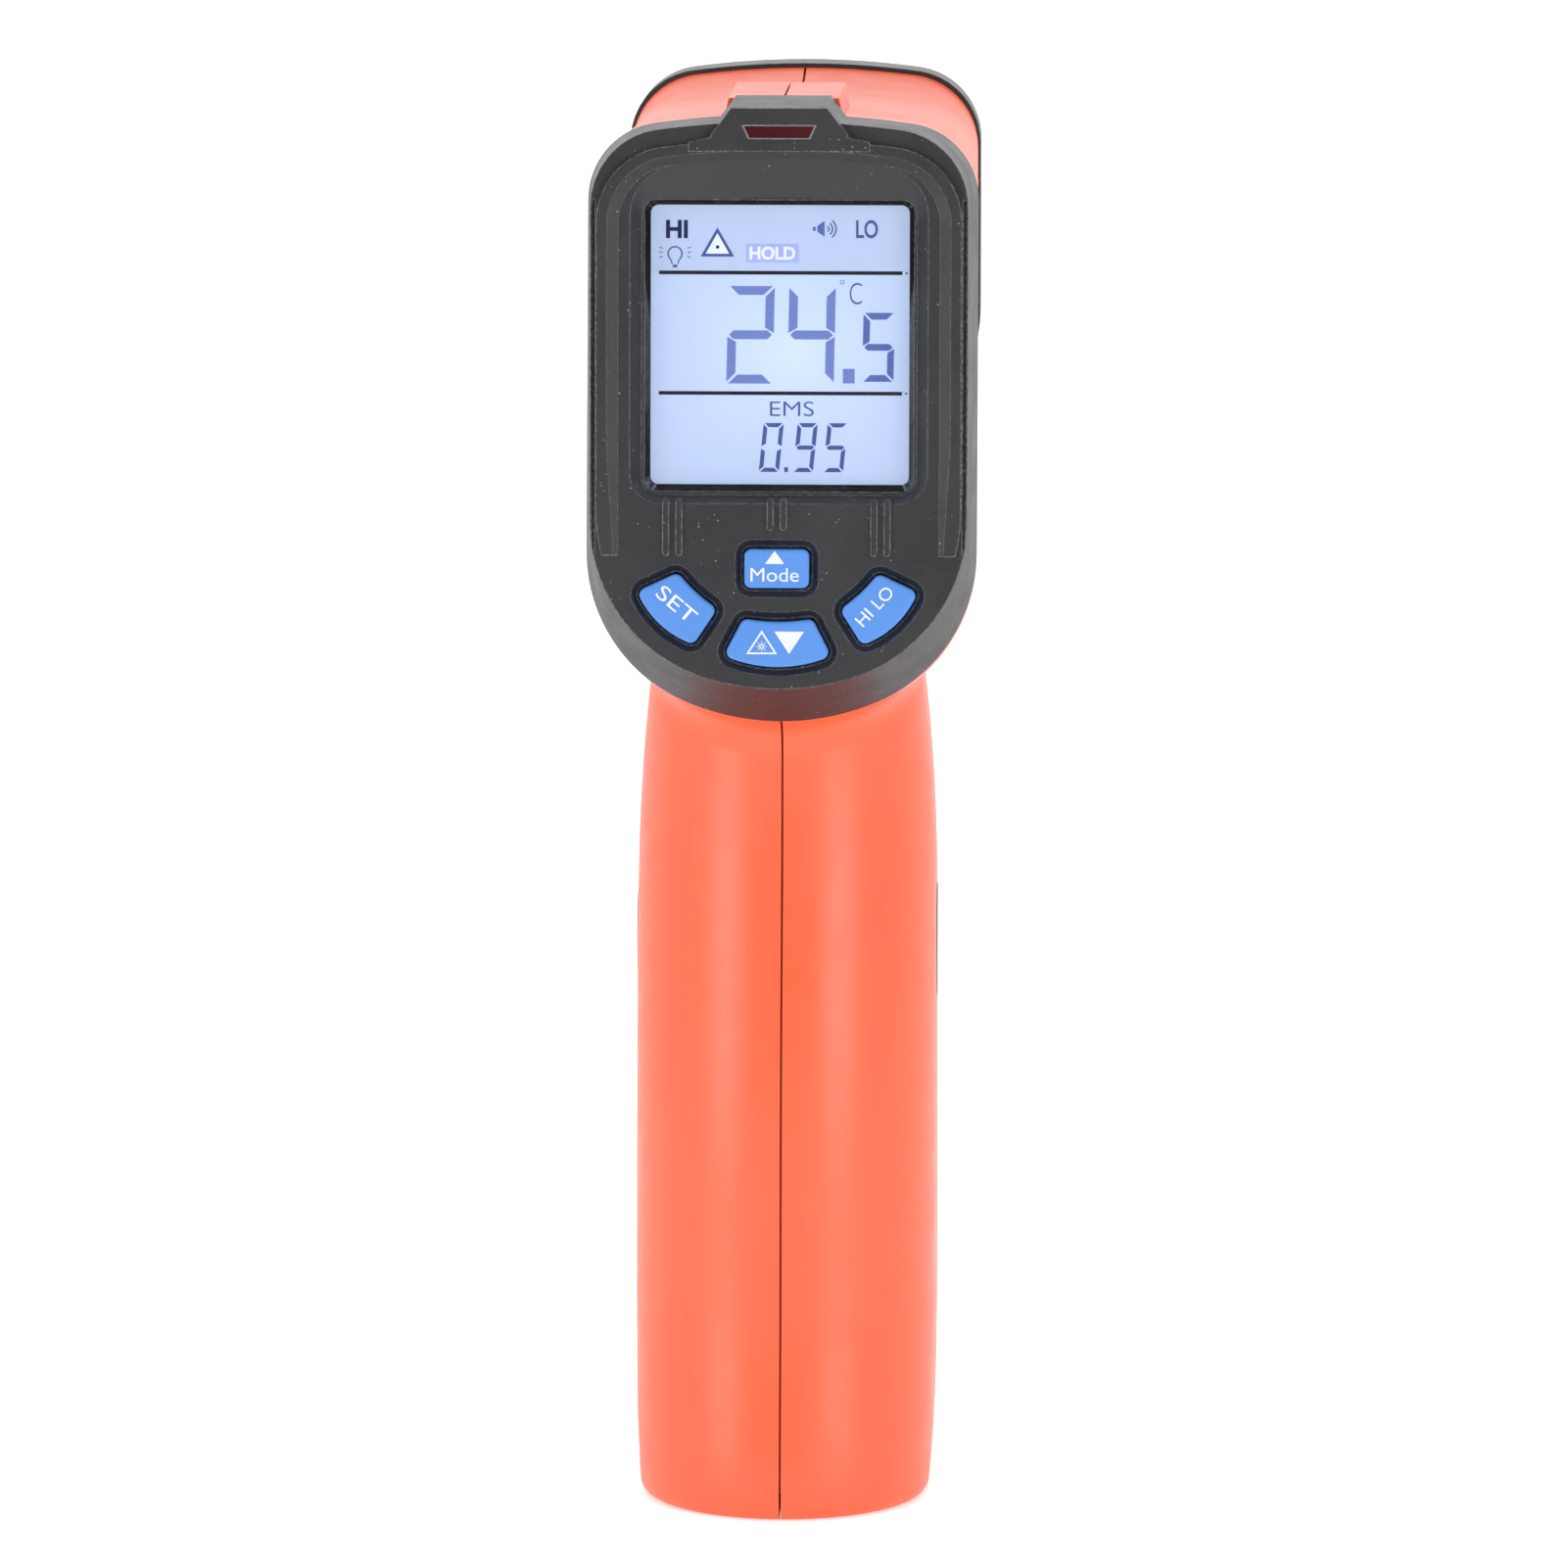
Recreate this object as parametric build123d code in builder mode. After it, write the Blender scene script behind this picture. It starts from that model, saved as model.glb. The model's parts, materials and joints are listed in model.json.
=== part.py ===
from build123d import *
import math
import os

os.makedirs("parts", exist_ok=True)

# A pistol-shaped infrared thermometer, in millimetres and degrees. Z is up, the display faces -Y
# and the nose points +Y. The origin is the centre of the grip's flat base.

# Driving dimensions -------------------------------------------------------------------------

WALL = 2.0  # thickness of the two housing halves
SEAM_GAP = 0.12  # each half stops this far from the middle plane
TONGUE = 1.0  # how far the left half's tongue reaches into the right half
TONGUE_PLAY = 0.12  # clearance round the tongue

# The rear bezel's face leans 5 degrees; u runs to the right on it and v runs up it.
FACE_Y = -28.0
FACE_Z = 94.9
FACE_TILT = 5.0
FACE_HALF = 20.65
FACE_HIGH = 62.0

# The seam between the bezel and the housing leans 8 degrees.
SEAM_Y = -19.0
SEAM_Z = 90.0
SEAM_TILT = 8.0
SEAM_HALF = 21.6
SEAM_HIGH = 67.1

# Sections of the head behind that seam: y, lowest z, half width, height.
HEAD_SECTIONS = [
    (15.0, 96.0, 21.1, 59.6),
    (40.0, 106.5, 20.7, 48.1),
    (52.0, 108.7, 20.5, 46.3),
    (60.0, 109.3, 20.4, 47.0),
]
CROWN_RADIUS = 100.0  # bow of the head's top
TOP_CORNER = 8.5
BOW_RADIUS = 27.0  # bow of the head's underside
LOW_CORNER = 18.0

# Sections of the grip: z, half width, rear y, front y, front corner radius.
GRIP_SECTIONS = [
    (0.0, 16.2, -21.9, 20.8, 9.5),
    (12.0, 16.8, -21.3, 20.8, 9.5),
    (40.0, 16.9, -19.0, 19.6, 9.5),
    (62.0, 16.9, -16.2, 18.2, 9.5),
    (74.0, 16.75, -14.3, 17.4, 9.0),
    (84.0, 16.2, -13.6, 17.2, 8.5),
    (92.0, 15.4, -13.8, 17.2, 8.0),
    (105.0, 14.5, -14.0, 17.2, 7.5),
]
FLOOR = 3.0  # thickness of the grip's base
NECK_FILLET = 4.5
BASE_FILLET = 1.6

# The low ridge on the head behind the bezel's hump.
RIDGE_HALF = 6.1
RIDGE_FOOT = 6.6
RIDGE_Z = 158.2
RIDGE_END = 13.0

# Bezel and display, across the face.
BEZEL_WALL = 2.6
SKIRT_DEEP = 2.2  # how far the bezel reaches into the housing
RECESS_FLOOR = 1.6
ARCH_HIGH = 0.8
ARCH_FOOT = 14.6  # where the arch's legs end
APERTURE = (14.75, 21.6, 53.45, 1.2)  # half width, low v, high v, corner radius
VISIBLE = (14.2, 22.3, 52.92, 0.9)
DISPLAY_HALF = 16.2
DISPLAY_LOW = 20.0
DISPLAY_HIGH = 54.8
FRAME_WALL = 0.7
WINDOW_THICK = 1.2
GASKET_THICK = 0.5
LCD_THICK = 2.0
LIGHT_THICK = 2.0
BOARD_THICK = 1.6
BOARD_FRONT = -8.4  # depth of the main board's front below the face
BOARD_INSET = 3.2
BOARD_BOSSES = [(-13.4, 15.6, 1.8), (13.4, 15.6, 1.8), (-9.0, 57.1, 1.3), (9.0, 57.1, 1.3)]
BOARD_SCREW = 0.9
RIB_PAIRS = [(-11.6, 14.6), (-0.15, 17.4), (11.2, 14.6)]  # u and lowest v of each pair of ribs
RIB_SHIFT = 0.72  # half the distance between the ribs of a pair
RIB_WIDE = 0.68
RIB_HIGH = 20.9
RIB_PROUD = 0.32
RIB_ROOT = 1.2

# The hump over the status window.
HUMP_TOP = 5.25
HUMP_FOOT = 7.45
HUMP_HIGH = 63.45
HUMP_SHOULDER = 60.5
HUMP_PROUD = 0.95

# Keys.
KEY_PROUD = 0.9
KEY_GAP = 0.22
KEY_FLANGE = 0.65
KEY_TRAVEL = 0.8
STEM_RADIUS = 1.5
STEM_END = -6.1
MOAT_WIDE = 1.05
MOAT_DEEP = 0.55
CARRIER_FRONT = -5.0
CARRIER_THICK = 0.9
SWITCH_TALL = 1.4

# Optics.
OPTIC_Z = 128.0
LASER_Z = 145.0
NOSE_START = 60.15
NOSE_END = 68.0
NOSE_HALF = 20.7
NOSE_LOW = 109.0
NOSE_HIGH = 47.8
PLATE_FRONT = 65.5
PLATE_THICK = 2.0

# Trigger.
PIVOT_Y = 18.0
PIVOT_Z = 102.0
TRIGGER_HALF = 6.2
TRIGGER_GAP = 0.35
PIN_RADIUS = 1.5
PIN_HALF = 9.5
NUB_DROP = 12.0  # the switch nub sits this far below the pivot
SPRING_Z = 79.2
SPRING_SEAT = 2.7  # half height of the wall that the spring leans on

# Battery and its door.
DOOR_SPLIT = 10.6
HINGE_Y = 16.9
HINGE_Z = 7.0
BARREL_RADIUS = 3.7
BARREL_HALF = 10.5
HINGE_PIN = 1.2
DOOR_REACH = 58.3  # top edge of the door, from the hinge axis
DOOR_GAP = 0.25
FOOT_TOP = 5.0
BATTERY = (26.0, 17.0, 48.5)
BATTERY_Y = 1.8
BATTERY_Z = 10.4

# Screws that hold the halves together: y, z.
HOUSING_SCREWS = [(2.0, 141.0), (41.0, 141.0), (26.0, 112.0), (5.0, 72.0), (0.0, 6.4)]
BOSS_RADIUS = 3.2
SCREW_RADIUS = 1.3
SCREW_HEAD = 2.5

# Oval inserts on the grip's sides.
BADGE_Y = 5.0
BADGE_Z = 61.6
BADGE_HALF_Y = 4.6
BADGE_HALF_Z = 6.8
BADGE_DEEP = 0.9


# Shared shapes ------------------------------------------------------------------------------


def leaning_plane(y, z, tilt):
    """An upright plane that faces -Y and leans away from the operator by tilt degrees."""
    lean = math.radians(tilt)
    return Plane(origin=(0, y, z), x_dir=(1, 0, 0), z_dir=(0, -math.cos(lean), math.sin(lean)))


face = leaning_plane(FACE_Y, FACE_Z, FACE_TILT)
seam = leaning_plane(SEAM_Y, SEAM_Z, SEAM_TILT)
side = Plane.YZ  # local x is +Y and local y is +Z


def shield(half, low, high, inset=0.0, corner=TOP_CORNER):
    """The head's outline: crowned top, straight sides and bowed underside."""
    half = half - inset
    low = low + inset
    high = high - inset
    bow = BOW_RADIUS - inset
    crown = CROWN_RADIUS - inset
    side_low = low + bow - math.sqrt(bow**2 - half**2)
    side_high = high - crown + math.sqrt(crown**2 - half**2)
    with BuildSketch() as outline:
        with BuildLine():
            ThreePointArc((-half, side_low), (0, low), (half, side_low))
            Line((half, side_low), (half, side_high))
            ThreePointArc((half, side_high), (0, high), (-half, side_high))
            Line((-half, side_high), (-half, side_low))
        make_face()
        fillet(outline.vertices().group_by(Axis.Y)[0], LOW_CORNER - inset)
        fillet(outline.vertices().group_by(Axis.Y)[-1], corner - inset)
    return outline.sketch


def panel(half, low, high, corner):
    """A rounded rectangle centred on u = 0, from v = low to v = high."""
    with BuildSketch() as outline:
        with Locations((0, (low + high) / 2)):
            RectangleRounded(2 * half, high - low, corner)
    return outline.sketch


def hood(half, low, high, low_corner, top_corner):
    """A panel with a crowned top edge."""
    side_high = high - CROWN_RADIUS + math.sqrt(CROWN_RADIUS**2 - half**2)
    with BuildSketch() as outline:
        with BuildLine():
            Line((-half, low), (half, low))
            Line((half, low), (half, side_high))
            ThreePointArc((half, side_high), (0, high), (-half, side_high))
            Line((-half, side_high), (-half, low))
        make_face()
        fillet(outline.vertices().group_by(Axis.Y)[0], low_corner)
        fillet(outline.vertices().group_by(Axis.Y)[-1], top_corner)
    return outline.sketch


def grip_section(half, rear, front, corner, inset=0.0):
    """The grip's section: a round back, parallel flanks and a front with round corners."""
    half = half - inset
    rear = rear + inset
    front = front - inset
    with BuildSketch() as outline:
        with BuildLine():
            Polyline((-half, rear), (half, rear), (half, front), (-half, front), close=True)
        make_face()
        fillet(outline.vertices().group_by(Axis.Y)[0], half - 0.05)
        fillet(outline.vertices().group_by(Axis.Y)[-1], corner - inset)
    return outline.sketch


def envelope(inset):
    """The housing's outer shape, or the same shape drawn in by inset."""
    with BuildPart() as body:
        with BuildSketch(seam):
            add(shield(SEAM_HALF, 0, SEAM_HIGH, inset))
        for y, low, half, high in HEAD_SECTIONS:
            with BuildSketch(leaning_plane(y, low, 0)):
                add(shield(half, 0, high, inset))
        loft()
        floor = FLOOR if inset else 0.0
        for z, half, rear, front, corner in GRIP_SECTIONS:
            with BuildSketch(Plane.XY.offset(max(z, floor))):
                add(grip_section(half, rear, front, corner, inset))
        loft()
    return body.part


with BuildSketch() as WINDOW_OUTLINE:
    with BuildLine():
        Polyline((-3.4, 60.1), (3.4, 60.1), (4.05, 61.6), (-4.05, 61.6), close=True)
    make_face()


# Keys: name, outline corners and arc middles, corner radius, stem centres -------------------

KEYS = {
    "mode_key": {
        "corners": [(-3.68, 11.1), (3.42, 11.1), (3.42, 15.35), (-3.68, 15.35)],
        "middles": [None, None, None, None],
        "radius": 0.75,
        "stem": (0.0, 13.1),
    },
    "laser_key": {
        "corners": [(-5.92, 3.68), (5.86, 3.68), (3.8, 7.75), (-3.8, 7.75)],
        "middles": [(0.0, 2.45), None, (0.0, 7.4), None],
        "radius": 0.85,
        "stem": (0.0, 5.2),
    },
    "set_key": {
        "corners": [(-15.42, 10.7), (-9.2, 4.88), (-6.6, 8.8), (-10.95, 12.75)],
        "middles": [(-13.05, 7.2), None, (-9.15, 10.76), None],
        "radius": 0.85,
        "stem": (-10.4, 9.2),
    },
    "hilo_key": {
        "corners": [(15.3, 10.7), (10.95, 12.75), (6.75, 8.8), (9.25, 4.9)],
        "middles": [None, (9.2, 10.76), None, (13.0, 7.22)],
        "radius": 0.85,
        "stem": (10.4, 9.2),
    },
}


def key_outline(key, grow=0.0):
    """A key's outline, grown evenly by grow; a side with a middle point is an arc through it."""
    corners = key["corners"]
    with BuildSketch() as outline:
        with BuildLine():
            for index, start in enumerate(corners):
                end = corners[(index + 1) % len(corners)]
                if key["middles"][index] is None:
                    Line(start, end)
                else:
                    ThreePointArc(start, key["middles"][index], end)
        make_face()
        fillet(outline.vertices(), key["radius"])
        if grow:
            offset(amount=grow, kind=Kind.ARC)
    return outline.sketch


def write(part, label):
    """Labels a finished piece and writes it."""
    part.label = label
    export_step(part, f"parts/{label}.step")


def crossbar(radius, y, z, low_x, high_x):
    """A cylinder along X."""
    with BuildPart() as bar:
        with BuildSketch(Plane.YZ.offset(low_x)):
            with Locations((y, z)):
                Circle(radius)
        extrude(amount=high_x - low_x)
    return bar.part


def block(low, high):
    """A box between two corners."""
    size = [b - a for a, b in zip(low, high)]
    centre = tuple((a + b) / 2 for a, b in zip(low, high))
    with BuildPart() as solid:
        with Locations(centre):
            Box(*size)
    return solid.part


def door_zone(reach, split_y):
    """Everything in front of split_y, above the foot and within reach of the hinge axis."""
    with BuildPart() as zone:
        with BuildSketch(side):
            with Locations((HINGE_Y, HINGE_Z)):
                Circle(reach)
            with Locations((split_y + 20, FOOT_TOP + 40)):
                Rectangle(40, 80, mode=Mode.INTERSECT)
        extrude(amount=25, both=True)
    return zone.part


# Housing ------------------------------------------------------------------------------------

outer = envelope(0.0)
cavity = envelope(WALL)

with BuildPart() as skin:
    add(outer)
    neck = [
        edge
        for edge in skin.edges().filter_by(GeomType.BSPLINE)
        if abs(edge.center().X) < 16 and 84 < edge.center().Z < 103 and -15 < edge.center().Y < 25
    ]
    fillet(neck, NECK_FILLET)
    fillet(skin.faces().sort_by(Axis.Z)[0].edges(), BASE_FILLET)

with BuildPart() as shell:
    add(skin.part)
    with BuildSketch(leaning_plane(RIDGE_END, 0, 0)):
        with BuildLine():
            Polyline(
                (-RIDGE_FOOT, RIDGE_Z - 5),
                (RIDGE_FOOT, RIDGE_Z - 5),
                (RIDGE_FOOT, RIDGE_Z - 2.4),
                (RIDGE_HALF, RIDGE_Z),
                (-RIDGE_HALF, RIDGE_Z),
                (-RIDGE_FOOT, RIDGE_Z - 2.4),
                close=True,
            )
        make_face()
    extrude(amount=RIDGE_END + 12)
    split(bisect_by=seam, keep=Keep.BOTTOM)
    add(cavity, mode=Mode.SUBTRACT)
    add(door_zone(DOOR_REACH + DOOR_GAP, DOOR_SPLIT), mode=Mode.SUBTRACT)

with BuildPart() as fittings:
    # screw bosses, pin bosses, spring seat, switch rails, optic saddle and battery shelf
    for y, z in HOUSING_SCREWS:
        add(crossbar(BOSS_RADIUS, y, z, -25, 25))
    for low_x in (-25, TRIGGER_HALF + 0.6):
        add(crossbar(3.6, PIVOT_Y, PIVOT_Z, low_x, low_x + 25 - TRIGGER_HALF - 0.6))
    add(block((-20, 0.5, SPRING_Z - SPRING_SEAT), (20, 2.5, SPRING_Z + SPRING_SEAT)))
    for low_x in (-20, 11):
        add(block((low_x, -0.6, 84), (low_x + 9, 4.9, 96)))
        add(block((low_x, 1.3, 80), (low_x + 9, 3.1, 100)), mode=Mode.SUBTRACT)
    add(block((-25, 47, 100), (25, 49, 139)))
    add(block((-12, -3, 2.5), (12, 6.6, BATTERY_Z - 0.2)))
    add(cavity, mode=Mode.INTERSECT)
    with BuildSketch(leaning_plane(46, OPTIC_Z, 0)):
        Circle(9.1)
    extrude(amount=-4, mode=Mode.SUBTRACT)

with BuildPart() as knuckles:
    for low_x in (-20, BARREL_HALF + 0.3):
        high_x = low_x + 20 - BARREL_HALF - 0.3
        add(crossbar(BARREL_RADIUS - 0.2, HINGE_Y, HINGE_Z, low_x, high_x))
        add(block((low_x, HINGE_Y - 3.5, 2.5), (high_x, HINGE_Y + 2, HINGE_Z)))
    add(outer, mode=Mode.INTERSECT)

with BuildPart() as rim:
    add(envelope(TONGUE))
    add(cavity, mode=Mode.SUBTRACT)
    add(block((-0.5, -60, -10), (TONGUE, 100, 170)), mode=Mode.INTERSECT)
with BuildPart() as rim_slot:
    add(envelope(TONGUE - TONGUE_PLAY))
    add(cavity, mode=Mode.SUBTRACT)
    add(block((-0.5, -60, -10), (TONGUE + TONGUE_PLAY, 100, 170)), mode=Mode.INTERSECT)

with BuildPart() as openings:
    # what is cut from both halves: trigger slot, door recess, hinge channel and holes
    slot_half = TRIGGER_HALF + TRIGGER_GAP
    add(block((-slot_half, 8, 68.4), (slot_half, 30.4, 106)))
    add(crossbar(PIN_RADIUS, PIVOT_Y, PIVOT_Z, -PIN_HALF, PIN_HALF))
    add(crossbar(BARREL_RADIUS + 0.9, HINGE_Y, HINGE_Z, -BARREL_HALF - 0.3, BARREL_HALF + 0.3))
    add(crossbar(HINGE_PIN + 0.05, HINGE_Y, HINGE_Z, -13.6, 13.6))
    for y, z in HOUSING_SCREWS:
        add(crossbar(SCREW_HEAD + 0.2, y, z, -30, -7))
        add(crossbar(SCREW_RADIUS + 0.1, y, z, -7, -SEAM_GAP))
        add(crossbar(SCREW_RADIUS, y, z, -SEAM_GAP, 9.4))
    for offset_x in (-20, 17 - BADGE_DEEP):
        with BuildSketch(Plane.YZ.offset(offset_x)):
            with Locations((BADGE_Y, BADGE_Z)):
                Ellipse(BADGE_HALF_Y, BADGE_HALF_Z)
        extrude(amount=3 + BADGE_DEEP)

with BuildPart() as housing:
    add(shell.part)
    add(fittings.part)
    add(knuckles.part)
    add(openings.part, mode=Mode.SUBTRACT)

with BuildPart() as housing_left:
    add(housing.part)
    split(bisect_by=Plane.YZ.offset(-SEAM_GAP), keep=Keep.BOTTOM)
    add(rim.part)
    with BuildSketch(Plane.XY):
        Circle(3)
    extrude(amount=FLOOR)
    add(door_zone(DOOR_REACH + DOOR_GAP, DOOR_SPLIT), mode=Mode.SUBTRACT)
    add(knuckles.part.solids().sort_by(Axis.X)[0])
    add(openings.part, mode=Mode.SUBTRACT)
write(housing_left.part, "housing_left")

with BuildPart() as housing_right:
    add(housing.part)
    split(bisect_by=Plane.YZ.offset(SEAM_GAP), keep=Keep.TOP)
    add(rim_slot.part, mode=Mode.SUBTRACT)
    with BuildSketch(Plane.XY.offset(-1)):
        Circle(3.12)
    extrude(amount=FLOOR + 2, mode=Mode.SUBTRACT)
write(housing_right.part, "housing_right")

# Rear bezel ---------------------------------------------------------------------------------

profile = Plane(origin=face.origin, x_dir=face.y_dir, z_dir=(1, 0, 0))  # local x is v, y is depth


def slab(outline, front, back):
    """A face-parallel solid of one outline between two depths."""
    with BuildPart() as solid:
        with BuildSketch(face.offset(back)):
            add(outline)
        extrude(amount=front - back)
    return solid.part


def disc(radius, u, v, front, back):
    """A round solid square to the face."""
    with BuildSketch() as outline:
        with Locations((u, v)):
            Circle(radius)
    return slab(outline.sketch, front, back)


def tile(low_u, high_u, low_v, high_v, front, back):
    """A plain block square to the face."""
    with BuildSketch() as outline:
        with Locations(((low_u + high_u) / 2, (low_v + high_v) / 2)):
            Rectangle(high_u - low_u, high_v - low_v)
    return slab(outline.sketch, front, back)


with BuildPart() as arch:
    # the raised rim round the display: an arch whose two legs fade out beside the keys
    with BuildSketch(face):
        add(shield(19.95, 1, 60.0, corner=8.2))
    extrude(amount=ARCH_HIGH)
    with BuildSketch(face.offset(ARCH_HIGH)):
        add(hood(18.8, 2, 58.9, 1.0, 7.4))
    with BuildSketch(face):
        add(hood(17.6, 3.2, 57.9, 1.0, 6.4))
    loft(mode=Mode.SUBTRACT)
    with BuildSketch(profile):
        with BuildLine():
            Polyline(
                (-5, -1),
                (ARCH_FOOT, -1),
                (ARCH_FOOT, 0.3),
                (ARCH_FOOT + 12, ARCH_HIGH),
                (ARCH_FOOT + 12, 2),
                (-5, 2),
                close=True,
            )
        make_face()
    extrude(amount=30, both=True, mode=Mode.SUBTRACT)

with BuildPart() as hump:
    with BuildSketch(face.offset(HUMP_PROUD)):
        with BuildLine():
            Polyline(
                (-9.9, 58.75),
                (9.9, 58.75),
                (9.9, 59.7),
                (HUMP_FOOT, 60.2),
                (HUMP_FOOT, HUMP_SHOULDER),
                (HUMP_TOP, HUMP_HIGH),
                (-HUMP_TOP, HUMP_HIGH),
                (-HUMP_FOOT, HUMP_SHOULDER),
                (-HUMP_FOOT, 60.2),
                (-9.9, 59.7),
                close=True,
            )
        make_face()
    extrude(amount=20, dir=(0, 1, 0.022))

with BuildPart() as rear_bezel:
    with BuildSketch(seam):
        add(shield(SEAM_HALF, 0, SEAM_HIGH))
    with BuildSketch(face):
        add(shield(FACE_HALF, 0, FACE_HIGH))
    loft()
    add(arch.part)
    add(hump.part)
    split(bisect_by=seam, keep=Keep.TOP)
    with BuildSketch(seam):
        add(shield(SEAM_HALF, 0, SEAM_HIGH, inset=3.6))
    with BuildSketch(face.offset(-BEZEL_WALL)):
        add(shield(FACE_HALF, 0, FACE_HIGH, inset=1.7))
    loft(mode=Mode.SUBTRACT)
    # skirt that locates the bezel in the housing
    with BuildSketch(seam.offset(-SKIRT_DEEP)):
        add(shield(SEAM_HALF, 0, SEAM_HIGH, inset=3.0))
        add(shield(SEAM_HALF, 0, SEAM_HIGH, inset=4.0), mode=Mode.SUBTRACT)
    extrude(amount=SKIRT_DEEP + 1.0)
    # fine groove along both edges of the face
    for left in (-1, 1):
        with BuildSketch(face.offset(-0.3)):
            with Locations((left * (FACE_HALF - 0.37), 34)):
                Rectangle(0.3, 39)
        extrude(amount=0.6, mode=Mode.SUBTRACT)
    # sloping brow and recess down to the display aperture
    with BuildSketch(face):
        add(hood(16.3, 20.3, 57.9, 3.4, 5.6))
    with BuildSketch(face.offset(-1.1)):
        add(hood(15.5, 20.9, 55.0, 2.6, 2.6))
    loft(mode=Mode.SUBTRACT)
    with BuildSketch(face.offset(-1.1)):
        add(hood(15.5, 20.9, 55.0, 2.6, 2.6))
    with BuildSketch(face.offset(-RECESS_FLOOR)):
        add(hood(15.1, 21.2, 53.8, 1.8, 1.8))
    loft(mode=Mode.SUBTRACT)
    add(slab(panel(*APERTURE), 1, -4), mode=Mode.SUBTRACT)
    # paired ribs under the display
    for u, low in RIB_PAIRS:
        for shift in (-RIB_SHIFT, RIB_SHIFT):
            with BuildSketch(face.offset(-RIB_ROOT)):
                with Locations((u + shift, (low + RIB_HIGH) / 2)):
                    SlotOverall(RIB_HIGH - low, RIB_WIDE, rotation=90)
            extrude(amount=RIB_ROOT + RIB_PROUD)
    # key openings, each in a shallow moat
    for key in KEYS.values():
        with BuildSketch(face.offset(0.02)):
            add(key_outline(key, MOAT_WIDE))
        with BuildSketch(face.offset(-MOAT_DEEP)):
            add(key_outline(key, 0.4))
        loft(mode=Mode.SUBTRACT)
        add(slab(key_outline(key, KEY_GAP), 1, -4), mode=Mode.SUBTRACT)
    # window opening in the hump, and room for the lamp behind it
    with BuildSketch(face.offset(-3)):
        add(WINDOW_OUTLINE.sketch)
    extrude(amount=5, mode=Mode.SUBTRACT)
    add(tile(-3.6, 3.6, 56.8, 61.8, -1.4, -20), mode=Mode.SUBTRACT)
    # bosses for the main board
    for u, v, radius in BOARD_BOSSES:
        add(disc(radius, u, v, -BEZEL_WALL + 0.2, BOARD_FRONT))
        add(disc(BOARD_SCREW, u, v, -4, BOARD_FRONT - 1), mode=Mode.SUBTRACT)
write(rear_bezel.part, "rear_bezel")

with BuildPart() as status_window:
    with BuildSketch(face.offset(-1.4)):
        add(WINDOW_OUTLINE.sketch)
    extrude(amount=HUMP_PROUD + 1.3)
write(status_window.part, "status_window")

with BuildPart() as status_led:
    add(tile(-2.4, 2.4, 56.4, 61.4, -7.2, BOARD_FRONT))
    add(disc(1.5, 0, 60.2, -3.6, -7.2))
    with BuildSketch(face.offset(-3.6)):
        with Locations((0, 60.2)):
            Circle(1.5)
    extrude(amount=1.2, taper=35)
write(status_led.part, "status_led")

# Display stack, from the window back to the main board --------------------------------------

display = panel(DISPLAY_HALF, DISPLAY_LOW, DISPLAY_HIGH, 1.5)
window_back = -BEZEL_WALL - WINDOW_THICK
gasket_back = window_back - GASKET_THICK
lcd_back = gasket_back - LCD_THICK
light_back = lcd_back - LIGHT_THICK

with BuildPart() as display_window:
    add(slab(display, -BEZEL_WALL, window_back))
write(display_window.part, "display_window")

with BuildPart() as display_gasket:
    add(slab(display, window_back, gasket_back))
    add(slab(panel(*VISIBLE), 0, -8), mode=Mode.SUBTRACT)
write(display_gasket.part, "display_gasket")

with BuildPart() as lcd_panel:
    add(slab(display, gasket_back, lcd_back))
write(lcd_panel.part, "lcd_panel")

with BuildPart() as lcd_backlight:
    add(slab(panel(DISPLAY_HALF - 0.3, DISPLAY_LOW + 2.4, DISPLAY_HIGH - 0.2, 1.0), lcd_back, light_back))
write(lcd_backlight.part, "lcd_backlight")

with BuildPart() as zebra_strip:
    add(tile(-14, 14, DISPLAY_LOW + 0.2, DISPLAY_LOW + 2.0, lcd_back, BOARD_FRONT))
write(zebra_strip.part, "zebra_strip")

with BuildPart() as lcd_frame:
    wall = 0.1 + FRAME_WALL
    frame = panel(DISPLAY_HALF + wall, DISPLAY_LOW - wall, DISPLAY_HIGH + wall, 1.8)
    hole = panel(DISPLAY_HALF + 0.1, DISPLAY_LOW - 0.1, DISPLAY_HIGH + 0.1, 1.6)
    add(slab(frame, -BEZEL_WALL, BOARD_FRONT))
    add(slab(hole, 0, -12), mode=Mode.SUBTRACT)
write(lcd_frame.part, "lcd_frame")

# Main board and what it carries -------------------------------------------------------------

board_back = BOARD_FRONT - BOARD_THICK

with BuildPart() as main_board:
    add(slab(shield(FACE_HALF, 0, FACE_HIGH, inset=BOARD_INSET), BOARD_FRONT, board_back))
    for u, v, radius in BOARD_BOSSES:
        add(disc(BOARD_SCREW + 0.15, u, v, 0, -20), mode=Mode.SUBTRACT)
write(main_board.part, "main_board")

with BuildPart() as board_components:
    # the processor, an amplifier, the crystal and small passives
    for low_u, high_u, low_v, high_v, tall in (
        (-9, 1, 26, 36, 1.5),
        (-10, -5, 16, 21, 1.2),
        (4, 8.2, 33, 43.5, 3.4),
        (-13, -9.5, 44, 47, 1.8),
        (-5, -1.5, 44, 48, 2.2),
    ):
        add(tile(low_u, high_u, low_v, high_v, board_back, board_back - tall))
    for index in range(6):
        low_v = 22 + 3.4 * index
        add(tile(10.5, 12.3, low_v, low_v + 1.2, board_back, board_back - 0.7))
write(board_components.part, "board_components")

with BuildPart() as board_screws:
    for u, v, radius in BOARD_BOSSES:
        add(disc(1.7, u, v, board_back, board_back - 1.2))
        add(disc(BOARD_SCREW, u, v, -4.6, board_back))
write(board_screws.part, "board_screws")

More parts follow.
